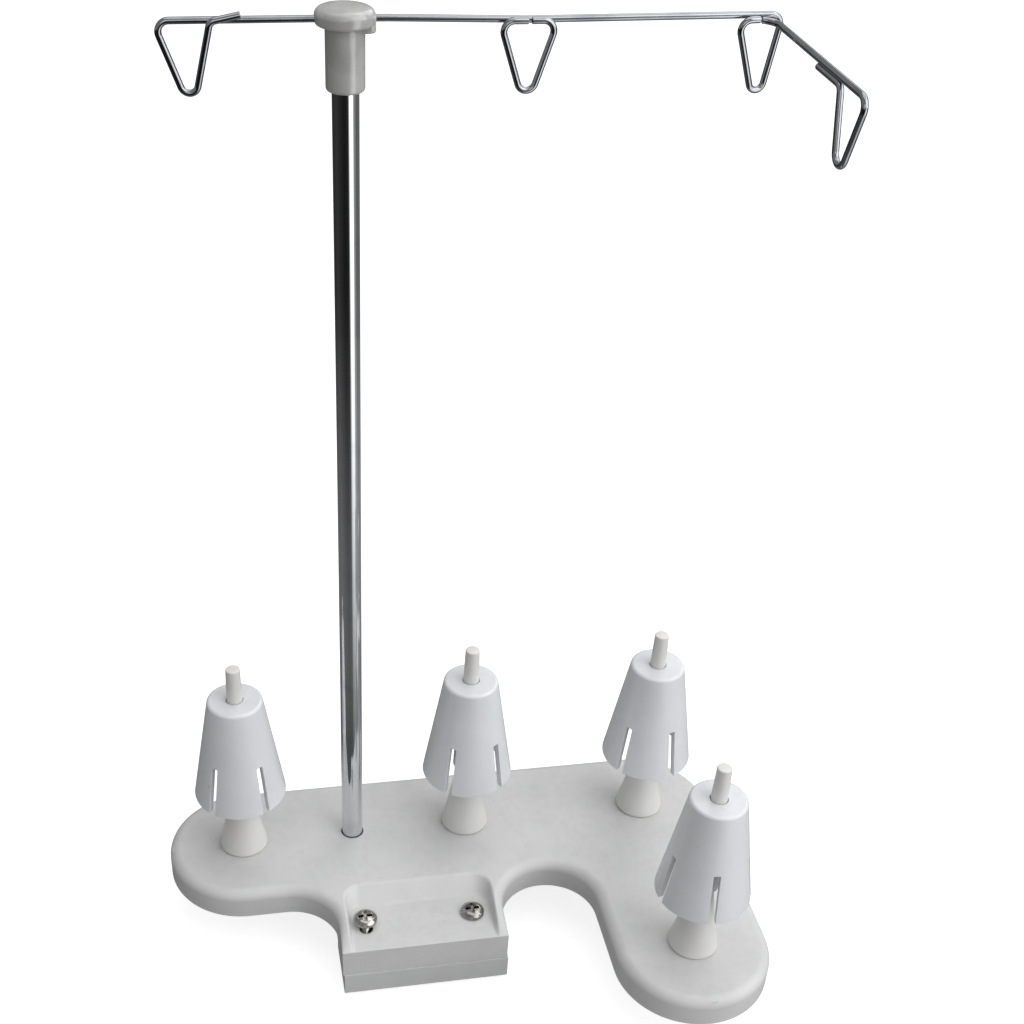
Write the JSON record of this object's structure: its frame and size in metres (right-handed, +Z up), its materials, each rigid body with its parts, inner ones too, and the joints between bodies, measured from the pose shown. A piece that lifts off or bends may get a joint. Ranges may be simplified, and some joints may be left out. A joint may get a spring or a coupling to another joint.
{
  "type": "thread cone stand",
  "caption": "Thread stand for an overlock machine: moulded base, slotted cone holders on upright pins, tall steel rod with turning wire thread guides.",
  "frame": {"origin": "centre of the mounting block's underside, where the stand sits on the machine", "axes": "+Z up along the guide rod, +X along the row of three cones, -Y towards the machine's operator"},
  "size_m": [0.2195, 0.1334, 0.3467],
  "materials": {
    "base_plastic": "light grey moulded ABS, satin",
    "block_plastic": "light grey moulded ABS, satin",
    "pin_plastic": "warm white moulded plastic, soft gloss",
    "holder_plastic": "cool white moulded plastic, soft gloss",
    "head_plastic": "grey-white moulded plastic, glossy",
    "rod_chrome": "bright chrome plate",
    "wire_chrome": "bright chrome plate",
    "screw_nickel": "nickel plate",
    "zinc_steel": "zinc plate"
  },
  "bodies": {
    "stand": {"base_plate": "base_plastic", "mount_block": "block_plastic", "mount_screw_left": "screw_nickel", "mount_screw_right": "screw_nickel", "spool_pin_1": "pin_plastic", "spool_pin_2": "pin_plastic", "spool_pin_3": "pin_plastic", "spool_pin_4": "pin_plastic", "pin_screw_1": "zinc_steel", "pin_screw_2": "zinc_steel", "pin_screw_3": "zinc_steel", "pin_screw_4": "zinc_steel", "guide_rod": "rod_chrome", "rod_washer": "zinc_steel", "rod_screw": "zinc_steel"},
    "holder_1": {"cone_holder_1": "holder_plastic"},
    "holder_2": {"cone_holder_2": "holder_plastic"},
    "holder_3": {"cone_holder_3": "holder_plastic"},
    "holder_4": {"cone_holder_4": "holder_plastic"},
    "head": {"guide_head": "head_plastic", "guide_wire_main": "wire_chrome", "guide_loop_2": "wire_chrome", "guide_arm_front": "wire_chrome"}
  },
  "joints": [
    {"name": "holder_1_lift", "type": "slide", "parent": "stand", "child": "holder_1", "axis": [0, 0, 1], "range_m": [0, 0.062]},
    {"name": "holder_2_lift", "type": "slide", "parent": "stand", "child": "holder_2", "axis": [0, 0, 1], "range_m": [0, 0.062]},
    {"name": "holder_3_lift", "type": "slide", "parent": "stand", "child": "holder_3", "axis": [0, 0, 1], "range_m": [0, 0.062]},
    {"name": "holder_4_lift", "type": "slide", "parent": "stand", "child": "holder_4", "axis": [0, 0, 1], "range_m": [0, 0.062]},
    {"name": "head_turn", "type": "hinge", "parent": "stand", "child": "head", "pos_m": [-0.0215, 0.04665, 0.328], "axis": [0, 0, 1], "continuous": true}
  ]
}
